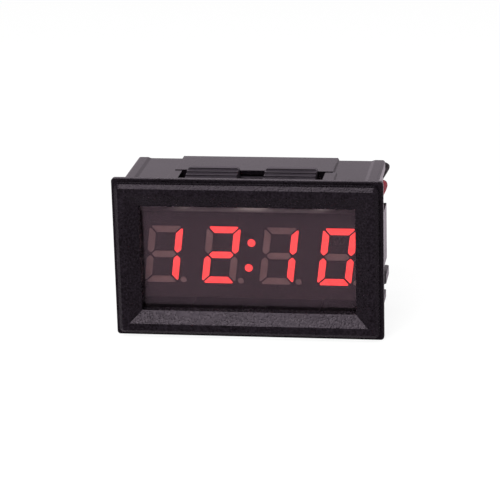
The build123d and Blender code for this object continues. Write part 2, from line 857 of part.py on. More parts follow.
with BuildPart() as solder_joints:
    for level in lead_levels:
        with BuildSketch(facing(board_rear_y, level)):
            with Locations((lead_x, 0)):
                Circle(solder_base_radius)
        with BuildSketch(facing(tail_start_y, level)):
            with Locations((lead_x, 0)):
                Circle(lead_diameter / 2)
        loft()
save("solder_joints", solder_joints)

# Free leads: out of the grommet, round to the right, down behind the case and into a coil
red_coil_z = tie_thickness + tie_clearance + lead_diameter / 2
black_coil_z = red_coil_z + coil_pitch
red_route = [
    (lead_x, cover_front_y, red_lead_z),
    (lead_x, 13.2, red_lead_z),
    (22.1, 18.3, 21.9),
    (21.1, 24.0, 18.0),
    (17.4, 26.4, 11.8),
    (13.2, 28.8, 5.4),
    (8.0, 30.8, red_coil_z),
    (2.9, 31.8, red_coil_z),
]
black_route = [
    (lead_x, cover_front_y, black_lead_z),
    (lead_x, 13.4, black_lead_z),
    (22.1, 19.0, 25.1),
    (21.0, 24.6, 21.2),
    (17.6, 28.0, 15.2),
    (13.4, 30.4, 8.8),
    (8.0, 30.8, black_coil_z),
    (2.9, 31.8, black_coil_z),
]
run_share = 0.45
gap_sample = 0.5


def corner_radii(route):
    """The largest arc that each corner's two runs allow."""
    points = [Vector(*p) for p in route]
    radii = []
    for before, here, after in zip(points, points[1:], points[2:]):
        arriving, leaving = here - before, after - here
        turn = math.radians(arriving.get_angle(leaving))
        shorter = min(arriving.length, leaving.length)
        radii.append(run_share * shorter / math.tan(turn / 2))
    return radii


def coil_path(start, heading):
    """One lead's put-away coil: half turns that close in by half a pitch each, then its end."""
    with BuildLine() as path:
        run = Line(start, start + heading * coil_lead_in)
        for index in range(coil_half_turns):
            run = JernArc(run @ 1, run % 1, coil_radius - index * coil_pitch / 2, 180)
        run = JernArc(run @ 1, run % 1, coil_end_radius, 90)
        Line(run @ 1, run @ 1 + (run % 1) * lead_diameter)
    return path


def least_gap(path):
    """The least clear gap between a coil and its own other turns, measured on points."""
    wire = path.wire()
    count = int(wire.length / gap_sample)
    points = [wire.position_at(i / count) for i in range(count + 1)]
    apart = int(3 * lead_diameter / gap_sample)
    gaps = [
        (points[i] - points[j]).length
        for i in range(len(points))
        for j in range(i + apart, len(points))
    ]
    return min(gaps) - lead_diameter


lead_ends = {}
for colour, route in (("red", red_route), ("black", black_route)):
    radii = corner_radii(route)
    with BuildPart() as lead:
        with BuildLine() as lead_line:
            FilletPolyline(*route, radius=radii)
        with BuildSketch(Plane(origin=lead_line.line @ 0, z_dir=lead_line.line % 0)):
            Circle(lead_diameter / 2)
        sweep()
    save(f"{colour}_lead", lead)
    heading = Vector(*route[-1]) - Vector(*route[-2])
    heading = heading.normalized()
    coil_line = coil_path(Vector(*route[-1]), heading)
    with BuildPart() as coil:
        with BuildSketch(Plane(origin=route[-1], z_dir=heading)):
            Circle(lead_diameter / 2)
        sweep(path=coil_line.line)
    save(f"{colour}_coil", coil)
    lead_ends[colour] = (coil_line.line @ 1, coil_line.line % 1)
    section = math.pi * (lead_diameter / 2) ** 2
    for piece, line in ((lead, lead_line.wire()), (coil, coil_line.wire())):
        print(
            piece.part.label,
            "length",
            round(line.length, 1),
            "volume over section times length",
            round(piece.part.volume / (section * line.length), 4),
        )
    print(colour, "lead radii", [round(r, 1) for r in radii])
    print(colour, "coil least gap", round(least_gap(coil_line), 2))

with BuildPart() as lead_tips:
    for place, heading in lead_ends.values():
        with BuildSketch(Plane(origin=place, z_dir=heading)):
            Circle(tip_diameter / 2)
        extrude(amount=tip_length)
save("lead_tips", lead_tips)

# Tie: a band round both coils, at the side where two turns of each lie one pitch apart
coil_start = Vector(*red_route[-1])
coil_heading = (coil_start - Vector(*red_route[-2])).normalized()
coil_inward = Vector(-coil_heading.Y, coil_heading.X, 0)
coil_centre = coil_start + coil_heading * coil_lead_in + coil_inward * coil_radius
tie_x = coil_centre.X - coil_radius + coil_pitch / 2
tie_z = (red_coil_z + black_coil_z) / 2
tie_inner = coil_pitch + lead_diameter + 2 * tie_clearance
tie_outer = tie_inner + 2 * tie_thickness
with BuildPart() as coil_tie:
    with BuildSketch(facing(coil_centre.Y + tie_width / 2, tie_z)):
        with Locations((tie_x, 0)):
            RectangleRounded(tie_outer, tie_outer, tie_corner)
        with Locations((tie_x - tie_outer / 2, 0)):
            Rectangle(tie_head, tie_head)
        with Locations((tie_x, 0)):
            RectangleRounded(tie_inner, tie_inner, tie_corner / 2, mode=Mode.SUBTRACT)
    extrude(amount=tie_width)
save("coil_tie", coil_tie)
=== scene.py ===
# %% [markdown]
# A snap-in car clock. The imported CAD model is the fixed frame: every piece below is placed in its
# coordinates, in metres, and rides on one of its bodies.

# %% Load the frame
import math

import bmesh
import bpy
from mathutils import Matrix, Vector


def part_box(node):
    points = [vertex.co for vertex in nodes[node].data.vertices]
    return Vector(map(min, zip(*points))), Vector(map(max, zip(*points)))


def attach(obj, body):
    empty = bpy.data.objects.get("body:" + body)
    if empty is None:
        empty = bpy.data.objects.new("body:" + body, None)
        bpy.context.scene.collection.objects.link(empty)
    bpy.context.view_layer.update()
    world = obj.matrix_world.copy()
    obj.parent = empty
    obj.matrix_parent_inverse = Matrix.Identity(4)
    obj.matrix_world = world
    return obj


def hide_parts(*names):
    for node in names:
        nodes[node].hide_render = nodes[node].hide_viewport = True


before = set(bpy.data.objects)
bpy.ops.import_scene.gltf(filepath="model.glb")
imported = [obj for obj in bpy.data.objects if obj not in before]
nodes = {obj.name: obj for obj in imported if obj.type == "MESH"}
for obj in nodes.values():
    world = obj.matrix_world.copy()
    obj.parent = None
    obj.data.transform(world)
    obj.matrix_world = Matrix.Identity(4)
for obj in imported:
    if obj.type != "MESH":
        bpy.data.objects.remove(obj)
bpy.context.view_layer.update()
MM = 0.001

# %% [markdown]
# The photograph was taken from a little above and from the right of the clock's middle, with a long
# lens, so that the sides hardly converge. A camera could be placed by eye, but here its angles were
# fitted to the corners of the bezel and the case, and are written down as azimuth, elevation and roll.

# %% Camera
azimuth, elevation, roll = math.radians(8.562), math.radians(17.382), math.radians(1.4755)
distance = 399.6 * MM
moved_left, moved_down = 0.814 * MM, 0.931 * MM
clock_middle = Vector((0, 0, 14.5 * MM))
level_right = Vector((math.cos(azimuth), math.sin(azimuth), 0))
back = Vector((
    math.sin(azimuth) * math.cos(elevation),
    -math.cos(azimuth) * math.cos(elevation),
    math.sin(elevation),
))
level_up = back.cross(level_right)
right = math.cos(roll) * level_right - math.sin(roll) * level_up
up = math.sin(roll) * level_right + math.cos(roll) * level_up
camera = bpy.data.objects.new("camera", bpy.data.cameras.new("camera"))
camera.data.sensor_width = 36.0
camera.data.lens = 159.9
camera.data.clip_start = 0.01
eye = clock_middle - moved_left * right - moved_down * up + distance * back
camera.matrix_world = Matrix.Translation(eye) @ Matrix((right, up, back)).transposed().to_4x4()
bpy.context.scene.collection.objects.link(camera)
bpy.context.scene.camera = camera
print("camera at", [round(value, 4) for value in eye])

# %% [markdown]
# Two thin supply leads leave the rear cover at the upper right, turn down behind the case and end in
# one small tied coil. A lead could be a swept mesh, but a curve keeps its roundness and its length
# can be measured. The route's points are the control points of a smooth spline, and the coil's turns
# are more points of that same spline, a half turn at a time, each a little smaller than the last.

# %% Routes of the leads
LEAD = 1.3 * MM
red_route = [
    (15.6, 8.5, 20.4), (15.6, 13.2, 20.4), (22.1, 18.3, 21.9), (21.1, 24.0, 18.0),
    (17.4, 26.4, 11.8), (13.2, 28.8, 5.4), (8.0, 30.8, 1.2), (2.9, 31.8, 1.2),
]
black_route = [
    (15.6, 8.5, 23.3), (15.6, 13.4, 23.3), (22.8, 18.8, 25.1), (21.0, 24.6, 21.2),
    (17.6, 28.0, 15.2), (13.4, 30.4, 8.8), (8.0, 30.8, 3.0), (2.9, 31.8, 3.0),
]
half_turn_radii = [9.0, 8.1, 7.2, 6.3]
last_quarter_radius = 4.0
run_in, run_out = 1.5, 1.3
steps_per_quarter = 6


def wind_coil(start, heading):
    """Control points of the coil in mm, and the way that the lead points at its end."""
    points = [start + run_in * heading]
    arcs = [(radius, 2) for radius in half_turn_radii] + [(last_quarter_radius, 1)]
    for radius, quarter_turns in arcs:
        left = Vector((-heading.y, heading.x, 0))
        centre = points[-1] + radius * left
        arm = points[-1] - centre
        for step in range(1, steps_per_quarter * quarter_turns + 1):
            turned = math.radians(90 * step / steps_per_quarter)
            points.append(centre + Matrix.Rotation(turned, 3, "Z") @ arm)
        heading = Matrix.Rotation(math.radians(90 * quarter_turns), 3, "Z") @ heading
    points.append(points[-1] + run_out * heading)
    return points, heading


print("each lead:", len(red_route), "points, then", len(half_turn_radii), "half turns and a quarter")

# %% [markdown]
# A soft lead has no kinks. A spline that runs through its points would need handles to stay smooth,
# so this one is only drawn towards them, which rounds every turn of the route by itself. Its round
# section is the curve's own bevel, and each control point's radius gives the size.

# %% Leads as smooth curves
def lay_lead(name, route):
    """One lead from the grommet to its stripped end. Returns it with the end and its direction."""
    points = [Vector(point) for point in route]
    coil, heading = wind_coil(points[-1], (points[-1] - points[-2]).normalized())
    points += coil
    curve = bpy.data.curves.new(name, "CURVE")
    curve.dimensions = "3D"
    spline = curve.splines.new("NURBS")
    spline.points.add(len(points) - 1)
    for control, point in zip(spline.points, points):
        control.co = (*(point * MM), 1.0)
        control.radius = LEAD / 2
    spline.order_u = 3
    spline.use_endpoint_u = True
    spline.resolution_u = 6
    curve.bevel_depth = 1.0  # times each point's radius
    curve.bevel_resolution = 5
    lead = bpy.data.objects.new(name, curve)
    bpy.context.scene.collection.objects.link(lead)
    print(name, len(points), "control points, ends at", [round(value, 2) for value in points[-1]])
    return lead, points[-1] * MM, heading


red_cord, red_end, red_heading = lay_lead("red_cord", red_route)
black_cord, black_end, black_heading = lay_lead("black_cord", black_route)

# %% [markdown]
# The last few millimetres of each lead are stripped, and show seven thin tinned strands laid together
# with a twist. A plain rod would do from afar. Here one small disc is spun about the lead's middle
# while it moves along it, which gives a strand with the right twist, and a straight one fills the core.

# %% Stripped strands
STRAND = 0.13 * MM
STRAND_SIDES = 10
STRAND_RING = 0.262 * MM
OUTER_STRANDS = 6
STRIP = 4.0 * MM
TWIST, TWIST_STEPS = math.radians(230), 24


def twist_strands(bm, end, heading):
    """Seven strands that leave a lead's end in the direction that it points."""
    known = set(bm.verts)
    for strand in range(OUTER_STRANDS):
        angle = math.radians(360 / OUTER_STRANDS * strand)
        spot = Matrix.Translation((STRAND_RING * math.cos(angle), STRAND_RING * math.sin(angle), 0))
        disc = bmesh.ops.create_circle(
            bm, cap_ends=True, segments=STRAND_SIDES, radius=STRAND, matrix=spot,
        )
        profile = list({face for vertex in disc["verts"] for face in vertex.link_faces})
        bmesh.ops.spin(
            bm, geom=profile, cent=(0, 0, 0), axis=(0, 0, 1), dvec=(0, 0, STRIP / TWIST_STEPS),
            angle=TWIST, steps=TWIST_STEPS,
        )
    bmesh.ops.create_cone(
        bm, cap_ends=True, segments=STRAND_SIDES, radius1=STRAND, radius2=STRAND, depth=STRIP,
        matrix=Matrix.Translation((0, 0, STRIP / 2)),
    )
    place = Matrix.Translation(end) @ heading.to_track_quat("Z", "Y").to_matrix().to_4x4()
    added = [vertex for vertex in bm.verts if vertex not in known]
    bmesh.ops.transform(bm, matrix=place, verts=added)


def finish_mesh(name, bm):
    """Turns a bmesh into a linked object with its faces pointing outwards."""
    bmesh.ops.remove_doubles(bm, verts=bm.verts, dist=1e-7)
    bmesh.ops.recalc_face_normals(bm, faces=bm.faces)
    mesh = bpy.data.meshes.new(name)
    bm.to_mesh(mesh)
    bm.free()
    piece = bpy.data.objects.new(name, mesh)
    bpy.context.scene.collection.objects.link(piece)
    print(name, len(mesh.polygons), "faces")
    return piece


bm = bmesh.new()
twist_strands(bm, red_end, red_heading)
twist_strands(bm, black_end, black_heading)
strands = finish_mesh("stripped_strands", bm)
for face in strands.data.polygons:
    face.use_smooth = True

# %% [markdown]
# Each new piece now gets its body, and the CAD nodes that it stands for are hidden.

for lead, colour in ((red_cord, "red"), (black_cord, "black")):
    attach(lead, "clock")
    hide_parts(colour + "_lead", colour + "_coil")
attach(strands, "clock")
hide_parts("lead_tips")
print("declared as cords:", red_cord.name, "and", black_cord.name)

# %% [markdown]
# All finishes are procedural. They share a few small helpers: one starts a material with its shader,
# one links a pattern to a socket, one adds a noise that reads the piece's own coordinates, one turns
# a pattern into two tones, and one turns it into fine relief. The Bevel node rounds the shading of
# sharp edges by about a tenth of a millimetre, as every moulded edge is rounded. A bevelled mesh would
# do the same, but would change the CAD mesh.

# %% Material helpers
def start_finish(name, **sockets):
    """A new material, its node tree and its main shader with these constant values set."""
    material = bpy.data.materials.new(name)
    material.use_nodes = True
    shader = material.node_tree.nodes["Principled BSDF"]
    for socket, value in sockets.items():
        shader.inputs[socket.replace("_", " ")].default_value = value
    return material, material.node_tree, shader


def feed(shader, socket, pattern):
    """Links a pattern to one socket of a shader."""
    shader.id_data.links.new(pattern, shader.inputs[socket])


def add_noise(tree, scale, detail, stretch=(1, 1, 1)):
    """A noise in the piece's own coordinates. The scale counts patches in a metre."""
    place = tree.nodes.new("ShaderNodeTexCoord")
    mapping = tree.nodes.new("ShaderNodeMapping")
    mapping.inputs["Scale"].default_value = stretch
    noise = tree.nodes.new("ShaderNodeTexNoise")
    noise.inputs["Scale"].default_value = scale
    noise.inputs["Detail"].default_value = detail
    tree.links.new(place.outputs["Object"], mapping.inputs["Vector"])
    tree.links.new(mapping.outputs["Vector"], noise.inputs["Vector"])
    return noise.outputs["Fac"]


def two_tones(tree, factor, dark, light, low=0.35, high=0.65):
    """A colour that runs from dark to light as the factor runs from low to high."""
    ramp = tree.nodes.new("ShaderNodeValToRGB")
    for stop, position, tone in zip(ramp.color_ramp.elements, (low, high), (dark, light)):
        stop.position, stop.color = position, (*tone, 1)
    tree.links.new(factor, ramp.inputs["Fac"])
    return ramp.outputs["Color"]


def spread(tree, factor, low, high):
    """A number that runs from low to high with a pattern, for roughness and the like."""
    span = tree.nodes.new("ShaderNodeMapRange")
    span.inputs["To Min"].default_value = low
    span.inputs["To Max"].default_value = high
    tree.links.new(factor, span.inputs["Value"])
    return span.outputs["Result"]


def add_relief(tree, shader, height, depth, edge_round=0.0):
    """Relief of this depth in metres from a pattern, over edges rounded by edge_round."""
    bump = tree.nodes.new("ShaderNodeBump")
    bump.inputs["Distance"].default_value = depth
    tree.links.new(height, bump.inputs["Height"])
    if edge_round:
        bevel = tree.nodes.new("ShaderNodeBevel")
        bevel.samples = 6
        bevel.inputs["Radius"].default_value = edge_round
        tree.links.new(bevel.outputs["Normal"], bump.inputs["Normal"])
    feed(shader, "Normal", bump.outputs["Normal"])


def axis_of(tree, source, axis):
    """One coordinate of the piece's own position (Object) or of its surface's direction (Normal)."""
    place = tree.nodes.new("ShaderNodeTexCoord")
    parts = tree.nodes.new("ShaderNodeSeparateXYZ")
    tree.links.new(place.outputs[source], parts.inputs["Vector"])
    return parts.outputs[axis]


def maths(tree, operation, *values):
    """A Math node with these inputs, each a number or another node's output."""
    node = tree.nodes.new("ShaderNodeMath")
    node.operation = operation
    for socket, value in zip(node.inputs, values):
        if isinstance(value, (int, float)):
            socket.default_value = value
        else:
            tree.links.new(value, socket)
    return node.outputs["Value"]


def pick(tree, factor, first, second):
    """A colour that is first where the factor is 0 and second where it is 1."""
    mix = tree.nodes.new("ShaderNodeMix")
    mix.data_type = "RGBA"
    tree.links.new(factor, mix.inputs["Factor"])
    for name, value in (("A_Color", first), ("B_Color", second)):
        socket = next(twin for twin in mix.inputs if twin.identifier == name)
        if isinstance(value, tuple):
            socket.default_value = (*value, 1)
        else:
            tree.links.new(value, socket)
    return next(twin for twin in mix.outputs if twin.identifier == "Result_Color")


print("material helpers ready")

# %% [markdown]
# The case and the rear cover are black moulded plastic. The bezel, which is in sight in a dashboard,
# has the even grain of a sparked mould, and the body behind it is smoother. Face on the plastic is
# nearly black, and at a low angle it mirrors the pale room, so its shine is kept low and left to the
# shader's own Fresnel. A fine noise is the grain, in relief and as specks of more and less polish, and
# is stronger in front of the flange's rear face. A broad one shifts the tone, as handling does. Two
# materials could split bezel and body, but they are one moulding and one mesh.

# %% Case plastic
FLANGE_REAR = -7.6 * MM
NOISE_MIDDLE = 0.5
BODY_GRAIN, BEZEL_GRAIN = 0.25, 1.0
BODY_ROUGH, BEZEL_ROUGH, GRAIN_IN_ROUGH = 0.20, 0.24, 0.5
TONE_START, HANDLING_IN_TONE, GRAIN_IN_TONE = 0.3, 0.4, 1.2
case_plastic, tree, shader = start_finish(
    "case_plastic", IOR=1.5, Specular_IOR_Level=0.095, Specular_Tint=(1.0, 0.84, 0.98, 1),
)
on_bezel = maths(tree, "LESS_THAN", axis_of(tree, "Object", "Y"), FLANGE_REAR)
sparks = maths(tree, "SUBTRACT", add_noise(tree, scale=2900, detail=1), NOISE_MIDDLE)
grain = maths(tree, "MULTIPLY", sparks, spread(tree, on_bezel, BODY_GRAIN, BEZEL_GRAIN))
handling = maths(tree, "MULTIPLY", add_noise(tree, scale=160, detail=4), HANDLING_IN_TONE)
specks = maths(tree, "MULTIPLY_ADD", grain, GRAIN_IN_TONE, TONE_START)
feed(shader, "Base Color", two_tones(
    tree, maths(tree, "ADD", specks, handling),
    (0.0004, 0.0003, 0.0004), (0.0088, 0.0068, 0.0095), low=0.2, high=0.8,
))
polish = spread(tree, on_bezel, BODY_ROUGH, BEZEL_ROUGH)
feed(shader, "Roughness", maths(tree, "MULTIPLY_ADD", grain, GRAIN_IN_ROUGH, polish))
add_relief(tree, shader, grain, depth=0.065 * MM, edge_round=0.08 * MM)
print("case_plastic made, grained up to y", FLANGE_REAR)

# %% [markdown]
# The spring clips are moulded from a tougher plastic. It is a shade greyer and smoother than the
# case, with drawn-out flow marks along the tongue. A wave texture would draw them too evenly, so they
# are a noise that is stretched along the depth.

# %% Clip plastic
clip_plastic, tree, shader = start_finish(
    "clip_plastic", IOR=1.5, Specular_IOR_Level=0.2, Specular_Tint=(1.0, 0.86, 0.98, 1),
)
flow = add_noise(tree, scale=420, detail=3, stretch=(1, 0.25, 1))
clip_tones = (0.0100, 0.0082, 0.0108), (0.0150, 0.0124, 0.0160)
feed(shader, "Base Color", two_tones(tree, flow, *clip_tones))
feed(shader, "Roughness", spread(tree, flow, 0.36, 0.48))
clip_grain = add_noise(tree, scale=3800, detail=2)
add_relief(tree, shader, clip_grain, depth=0.006 * MM, edge_round=0.12 * MM)
print("clip_plastic made")

# %% [markdown]
# The lens is smoked acrylic. The main shader bends and tints the light, and a Transparent shader
# stands in for rays from lamps, so that they reach the display behind it, where plain glass would
# cast a full shadow. Its face is finely etched against glare: a fine noise shifts its polish in
# specks, and its mirror is kept weak and warm.

# %% Smoked acrylic
smoked_acrylic, tree, shader = start_finish(
    "smoked_acrylic", IOR=1.5, Transmission_Weight=1.0,
    Base_Color=(0.56, 0.46, 0.48, 1), Specular_Tint=(0.72, 0.60, 0.68, 1),
)
etched = add_noise(tree, scale=2600, detail=2)
feed(shader, "Roughness", spread(tree, etched, 0.02, 0.12))
clear = tree.nodes.new("ShaderNodeBsdfTransparent")
clear.inputs["Color"].default_value = (0.75, 0.68, 0.71, 1)
path_of_ray = tree.nodes.new("ShaderNodeLightPath")
either = tree.nodes.new("ShaderNodeMixShader")
tree.links.new(path_of_ray.outputs["Is Shadow Ray"], either.inputs["Fac"])
tree.links.new(shader.outputs["BSDF"], either.inputs[1])
tree.links.new(clear.outputs["BSDF"], either.inputs[2])
tree.links.new(either.outputs["Shader"], tree.nodes["Material Output"].inputs["Surface"])
print("smoked_acrylic made")

# %% [markdown]
# The display block is moulded in a pale plastic, and only its face is printed black, so that the dark
# bars don't show the light of their neighbours. A second material on the front faces would do, but
# the mesh is loose triangles. So the two finishes are told apart by the depth of a point in the block:
# the face is the front few hundredths of a millimetre.

# %% Display block
PRINT_DEPTH = 0.04 * MM
display_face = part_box("display_housing")[0][1]
display_block, tree, shader = start_finish("display_block", IOR=1.5, Specular_IOR_Level=0.3)
depth_in_block = axis_of(tree, "Object", "Y")
behind_face = maths(tree, "GREATER_THAN", depth_in_block, display_face + PRINT_DEPTH)
print_tone = two_tones(
    tree, add_noise(tree, scale=2600, detail=2),
    (0.001, 0.001, 0.001), (0.035, 0.025, 0.027), low=0.44, high=0.66,
)
body_tone = two_tones(
    tree, add_noise(tree, scale=700, detail=3), (0.38, 0.35, 0.33), (0.47, 0.44, 0.41),
)
feed(shader, "Base Color", pick(tree, behind_face, print_tone, body_tone))
feed(shader, "Roughness", spread(tree, add_noise(tree, scale=1500, detail=2), 0.55, 0.75))
print("display face at", round(display_face, 5))

# %% [markdown]
# A lit bar is a light pipe of cloudy resin over a red chip, and glows almost evenly. An unlit bar is
# the same resin with no light, a dull pinkish grey. A lamp behind each bar would be slow and noisy, so
# both are resin first, and the lit one adds emission whose strength follows a soft noise.

# %% Light bars
segment_lit, tree, shader = start_finish(
    "segment_lit", Roughness=0.5, Emission_Color=(1.0, 0.052, 0.045, 1),
)
cloud = add_noise(tree, scale=600, detail=2)
feed(shader, "Base Color", two_tones(tree, cloud, (0.55, 0.03, 0.03), (0.65, 0.05, 0.05)))
feed(shader, "Emission Strength", spread(tree, cloud, 2.2, 2.8))

segment_unlit, tree, shader = start_finish("segment_unlit")
cloud = add_noise(tree, scale=600, detail=2)
unlit_tones = (0.166, 0.124, 0.108), (0.210, 0.160, 0.140)
feed(shader, "Base Color", two_tones(tree, cloud, *unlit_tones))
feed(shader, "Roughness", spread(tree, cloud, 0.4, 0.6))
print("light bars made")

# %% [markdown]
# The boards are glass laminate under green lacquer. The lacquer lies on the two faces and follows the
# tracks under it, and the cut edges show the bare laminate. Tracks could be drawn one by one, but they
# are only glimpsed through the slots. So a brick pattern turned into the board's plane gives them, and
# the surface's own direction tells the faces from the edges.

# %% Board laminate
board_laminate, tree, shader = start_finish("board_laminate", IOR=1.5, Specular_IOR_Level=0.45)
place = tree.nodes.new("ShaderNodeTexCoord")
turn = tree.nodes.new("ShaderNodeMapping")
turn.inputs["Rotation"].default_value = (math.radians(90), 0, 0)
tracks = tree.nodes.new("ShaderNodeTexBrick")
for socket, value in {
    "Scale": 1.0, "Brick Width": 5.1 * MM, "Row Height": 1.1 * MM,
    "Mortar Size": 0.16 * MM, "Mortar Smooth": 0.2,
    "Color1": (0.006, 0.055, 0.020, 1), "Color2": (0.008, 0.065, 0.024, 1),
    "Mortar": (0.020, 0.130, 0.045, 1),
}.items():
    tracks.inputs[socket].default_value = value
tree.links.new(place.outputs["Object"], turn.inputs["Vector"])
tree.links.new(turn.outputs["Vector"], tracks.inputs["Vector"])
facing = maths(tree, "ABSOLUTE", axis_of(tree, "Normal", "Y"))
on_face = maths(tree, "GREATER_THAN", facing, 0.5)
fibres = add_noise(tree, scale=2500, detail=2, stretch=(1, 6, 1))
bare = two_tones(tree, fibres, (0.20, 0.17, 0.08), (0.34, 0.30, 0.16))
feed(shader, "Base Color", pick(tree, on_face, bare, tracks.outputs["Color"]))
feed(shader, "Roughness", spread(tree, on_face, 0.75, 0.32))
add_relief(tree, shader, tracks.outputs["Fac"], depth=0.02 * MM)
print("board_laminate made")

# %% [markdown]
# Pins, switch plates, solder and bare strands are tinned metal: bright, slightly yellow and never
# quite even. Anisotropy could give the drawn look of thin wire and strip, but needs a direction on
# every piece. A noise stretched along one axis does it for all of them.

# %% Tinned metal
tinned_metal, tree, shader = start_finish("tinned_metal", Metallic=1.0)
drawn = add_noise(tree, scale=2200, detail=3, stretch=(1, 0.3, 1))
feed(shader, "Base Color", two_tones(tree, drawn, (0.52, 0.50, 0.46), (0.74, 0.72, 0.68)))
feed(shader, "Roughness", spread(tree, drawn, 0.22, 0.42))
add_relief(tree, shader, drawn, depth=0.004 * MM)
print("tinned_metal made")

# %% [markdown]
# The chip, the regulator, the diode and the switch bodies are black epoxy or filled plastic, grainy
# and matt. A flat black would look like a hole in the board, so a coarse speckle stands for the
# filler that shows in the moulded surface.

# %% Chip epoxy
chip_epoxy, tree, shader = start_finish("chip_epoxy", IOR=1.5, Specular_IOR_Level=0.35)
speckle = add_noise(tree, scale=6500, detail=2)
feed(shader, "Base Color", two_tones(
    tree, speckle, (0.010, 0.010, 0.011), (0.030, 0.030, 0.031), low=0.45, high=0.75,
))
feed(shader, "Roughness", spread(tree, speckle, 0.5, 0.7))
add_relief(tree, shader, speckle, depth=0.008 * MM, edge_round=0.08 * MM)
print("chip_epoxy made")

# %% [markdown]
# The crystal and the filter capacitor are drawn cans. Their metal is brushed round the axis, which a
# noise squeezed along one axis shows well enough at this size. The capacitor carries a dark band on
# one side that marks the negative lead: it is part of the finish, as on the real one it is printed.

# %% Can metal
CAN_TONES = (0.60, 0.60, 0.61), (0.82, 0.82, 0.83)
BAND_TONE, BAND_SHARE = (0.015, 0.015, 0.018), 0.3
can_metal, tree, shader = start_finish("can_metal", Metallic=1.0)
brushed = add_noise(tree, scale=1800, detail=4, stretch=(0.15, 1, 1))
feed(shader, "Base Color", two_tones(tree, brushed, *CAN_TONES))
feed(shader, "Roughness", spread(tree, brushed, 0.20, 0.38))
add_relief(tree, shader, brushed, depth=0.003 * MM, edge_round=0.12 * MM)

can_low, can_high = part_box("filter_capacitor")
band_edge = can_low[0] + BAND_SHARE * (can_high[0] - can_low[0])
marked_can, tree, shader = start_finish("marked_can")
brushed = add_noise(tree, scale=1800, detail=4, stretch=(1, 0.15, 1))
marked = maths(tree, "LESS_THAN", axis_of(tree, "Object", "X"), band_edge)
feed(shader, "Base Color", pick(tree, marked, two_tones(tree, brushed, *CAN_TONES), BAND_TONE))
feed(shader, "Metallic", maths(tree, "SUBTRACT", 1.0, marked))
feed(shader, "Roughness", spread(tree, brushed, 0.22, 0.40))
print("cans made, band up to x", round(band_edge, 5))

# %% [markdown]
# Chip resistors and ceramics are small bricks with tinned ends. The ends could be meshes of their
# own, but each kind is one node of several bricks. So they are found from how far a point lies from
# the middle of its own brick: the resistors stand in a row along X, so their middles repeat, and the
# ceramics stand above each other and share one middle.

# %% Small chip parts
RESISTOR_PITCH = 2.6 * MM
HALF_BRICK, CAP_START = 1.0 * MM, 0.66 * MM
CAP_TONE = (0.62, 0.60, 0.57)


def capped_finish(name, node, pitch, dark, light):
    """Body tone with tinned ends, for bricks that repeat along X at this pitch, or don't (0)."""
    low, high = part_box(node)
    material, tree, shader = start_finish(name)
    across = axis_of(tree, "Object", "X")
    if pitch:
        from_first = maths(tree, "SUBTRACT", across, low[0] + HALF_BRICK - pitch / 2)
        from_middle = maths(tree, "SUBTRACT", maths(tree, "MODULO", from_first, pitch), pitch / 2)
    else:
        from_middle = maths(tree, "SUBTRACT", across, (low[0] + high[0]) / 2)
    capped = maths(tree, "GREATER_THAN", maths(tree, "ABSOLUTE", from_middle), CAP_START)
    tone = two_tones(tree, add_noise(tree, scale=3000, detail=2), dark, light)
    feed(shader, "Base Color", pick(tree, capped, tone, CAP_TONE))
    feed(shader, "Metallic", capped)
    feed(shader, "Roughness", spread(tree, capped, 0.55, 0.30))
    return material


resistor_finish = capped_finish(
    "resistor_finish", "chip_resistors", RESISTOR_PITCH, (0.010, 0.010, 0.012), (0.026, 0.026, 0.03),
)
ceramic_finish = capped_finish(
    "ceramic_tan", "chip_capacitors", 0, (0.26, 0.17, 0.09), (0.36, 0.25, 0.14),
)
print("chip parts made")

# %% [markdown]
# The setting buttons are a smoother black plastic, the grommet is matt rubber, and the tie is cloudy
# nylon that lets a little light in. They differ only in tone, roughness and grain, so one function
# makes all three.

# %% Buttons, grommet and tie
def plain_moulding(name, dark, light, rough, grain_scale, grain_depth, **sockets):
    """A moulded finish with a soft shift of tone and a grain of its own."""
    material, tree, shader = start_finish(name, IOR=1.5, **sockets)
    shift = add_noise(tree, scale=500, detail=3)
    feed(shader, "Base Color", two_tones(tree, shift, dark, light))
    feed(shader, "Roughness", spread(tree, shift, rough - 0.06, rough + 0.06))
    grain = add_noise(tree, scale=grain_scale, detail=2)
    add_relief(tree, shader, grain, grain_depth, edge_round=0.1 * MM)
    print(name, "made")
    return material


button_plastic = plain_moulding(
    "button_plastic", (0.012, 0.011, 0.013), (0.020, 0.019, 0.021), rough=0.38,
    grain_scale=4200, grain_depth=0.004 * MM, Specular_IOR_Level=0.4,
)
grommet_rubber = plain_moulding(
    "grommet_rubber", (0.014, 0.013, 0.014), (0.026, 0.025, 0.026), rough=0.72,
    grain_scale=3000, grain_depth=0.012 * MM, Specular_IOR_Level=0.3,
)
tie_nylon = plain_moulding(
    "tie_nylon", (0.56, 0.55, 0.52), (0.66, 0.65, 0.62), rough=0.42,
    grain_scale=2600, grain_depth=0.005 * MM, Specular_IOR_Level=0.5,
    Subsurface_Weight=0.15, Subsurface_Radius=(0.6 * MM, 0.6 * MM, 0.6 * MM),
)

# %% [markdown]
# The leads have a soft vinyl cover: a full colour, a dull shine and a faint ripple along their
# length. The two short tails inside the case could be split into two meshes, but they are one CAD
# node, so their colour follows the height: the black one enters above the red one.

# %% Lead covers
RED_TONES = ((0.215, 0.020, 0.034), (0.305, 0.034, 0.050))
BLACK_TONES = ((0.005, 0.004, 0.005), (0.011, 0.009, 0.010))
BETWEEN_TAILS = 21.85 * MM


